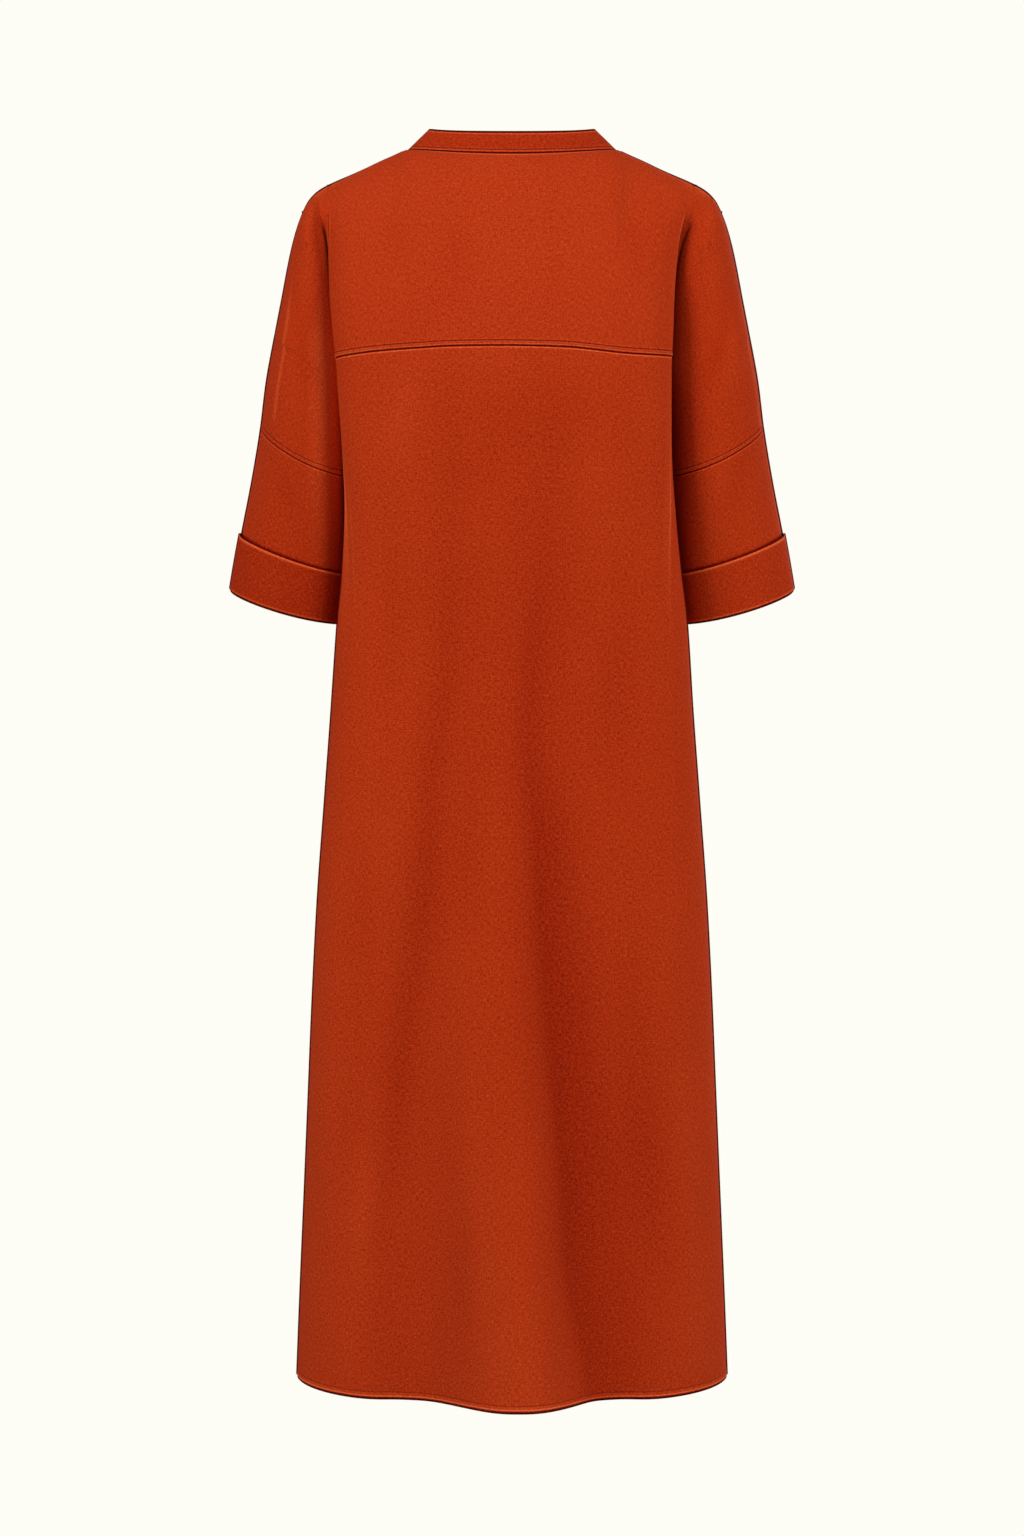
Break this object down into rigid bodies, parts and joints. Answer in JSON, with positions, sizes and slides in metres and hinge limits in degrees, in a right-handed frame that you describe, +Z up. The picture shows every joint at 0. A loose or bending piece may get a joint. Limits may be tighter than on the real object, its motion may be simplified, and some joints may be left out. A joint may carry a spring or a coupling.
{
  "type": "shift dress",
  "caption": "Long A-line shift dress with a band collar, back yoke, kimono shoulders and turned-up cuffs, hollow as when worn.",
  "frame": {"origin": "midway between the two side-neck points, where the shoulders of the wearer hold the dress", "axes": "+Z up, +Y towards the back of the dress, +X towards the wearer's left"},
  "size_m": [0.5466, 0.3195, 1.1902],
  "materials": {
    "cloth": "matte woven linen and viscose cloth, rust orange"
  },
  "bodies": {
    "root": {"back_yoke": "cloth", "back_panel": "cloth", "front": "cloth", "neck_band": "cloth", "sleeve_left": "cloth", "sleeve_right": "cloth", "cuff_left": "cloth", "cuff_right": "cloth"}
  },
  "joints": []
}
